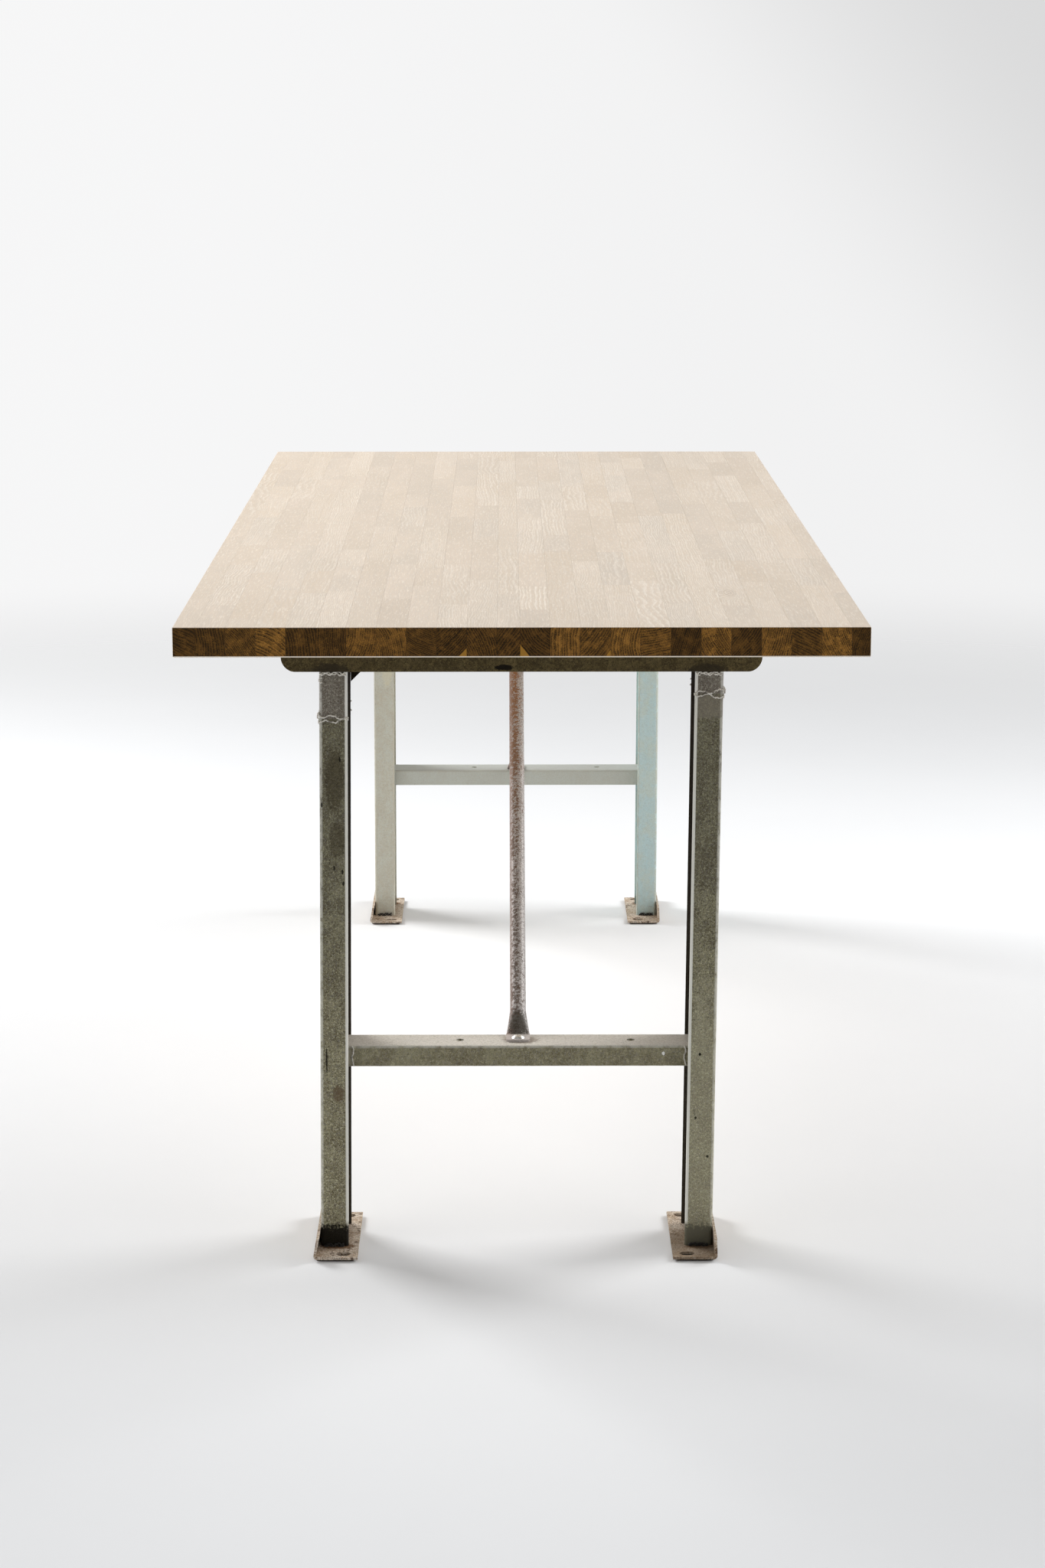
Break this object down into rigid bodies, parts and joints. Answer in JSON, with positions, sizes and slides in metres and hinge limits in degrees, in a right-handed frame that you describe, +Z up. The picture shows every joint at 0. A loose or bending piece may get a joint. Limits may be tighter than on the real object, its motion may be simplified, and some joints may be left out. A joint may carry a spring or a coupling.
{
  "type": "butcher block table",
  "caption": "Long work table: laminated hardwood block top on two welded steel channel end frames with slotted foot plates and diagonal tube braces to the underside.",
  "frame": {"origin": "on the floor, under the middle of the top", "axes": "+Z up, +Y along the table from the front end frame to the rear end frame, +X to the right seen from the front end"},
  "size_m": [0.9144, 2.1336, 0.88],
  "materials": {
    "oiled_hardwood": "satin, pale washed face grain and dark end grain",
    "olive_paint": "worn olive grey enamel",
    "sage_paint": "worn pale sage enamel",
    "pale_blue_paint": "worn pale blue enamel over green grey",
    "dark_mill_steel": "dull dark olive brown",
    "bare_grey_steel": "ground and dulled",
    "rusty_steel": "rusted and scuffed flat steel",
    "galvanised_tube": "zinc coat with red brown rust",
    "zinc_plate": "bright zinc",
    "weld_metal": "rippled bead",
    "rubber_pad": "matt black"
  },
  "bodies": {
    "root": {"top_stave_row_01": "oiled_hardwood", "top_stave_row_02": "oiled_hardwood", "top_stave_row_03": "oiled_hardwood", "top_stave_row_04": "oiled_hardwood", "top_stave_row_05": "oiled_hardwood", "top_stave_row_06": "oiled_hardwood", "top_stave_row_07": "oiled_hardwood", "top_stave_row_08": "oiled_hardwood", "top_stave_row_09": "oiled_hardwood", "top_stave_row_10": "oiled_hardwood", "top_stave_row_11": "oiled_hardwood", "top_stave_row_12": "oiled_hardwood", "top_stave_row_13": "oiled_hardwood", "top_stave_row_14": "oiled_hardwood", "top_stave_row_15": "oiled_hardwood", "top_stave_row_16": "oiled_hardwood", "top_stave_row_17": "oiled_hardwood", "top_stave_row_18": "oiled_hardwood", "top_stave_row_19": "oiled_hardwood", "top_stave_row_20": "oiled_hardwood", "top_stave_row_21": "oiled_hardwood", "top_stave_row_22": "oiled_hardwood", "top_stave_row_23": "oiled_hardwood", "top_stave_row_24": "oiled_hardwood", "front_left_leg": "olive_paint", "front_left_foot_plate": "rusty_steel", "front_left_foot_pad": "rubber_pad", "front_right_leg": "olive_paint", "front_right_foot_plate": "rusty_steel", "front_right_foot_pad": "rubber_pad", "front_top_channel": "dark_mill_steel", "front_crossbar": "olive_paint", "front_brace_tube": "galvanised_tube", "front_top_welds": "weld_metal", "front_crossbar_welds": "weld_metal", "front_foot_welds": "weld_metal", "rear_left_leg": "sage_paint", "rear_left_foot_plate": "rusty_steel", "rear_left_foot_pad": "rubber_pad", "rear_right_leg": "pale_blue_paint", "rear_right_foot_plate": "rusty_steel", "rear_right_foot_pad": "rubber_pad", "rear_top_channel": "dark_mill_steel", "rear_crossbar": "sage_paint", "rear_brace_tube": "galvanised_tube", "rear_top_welds": "weld_metal", "rear_crossbar_welds": "weld_metal", "rear_foot_welds": "weld_metal", "front_left_leg_extension": "bare_grey_steel", "front_right_leg_extension": "bare_grey_steel", "front_left_gusset": "dark_mill_steel", "front_splice_welds": "weld_metal", "brace_foot_bolts": "zinc_plate", "brace_foot_washers": "zinc_plate", "brace_foot_nuts": "zinc_plate", "frame_lag_screws": "zinc_plate", "frame_lag_washers": "zinc_plate", "brace_head_screws": "zinc_plate", "brace_head_washers": "zinc_plate"}
  },
  "joints": []
}
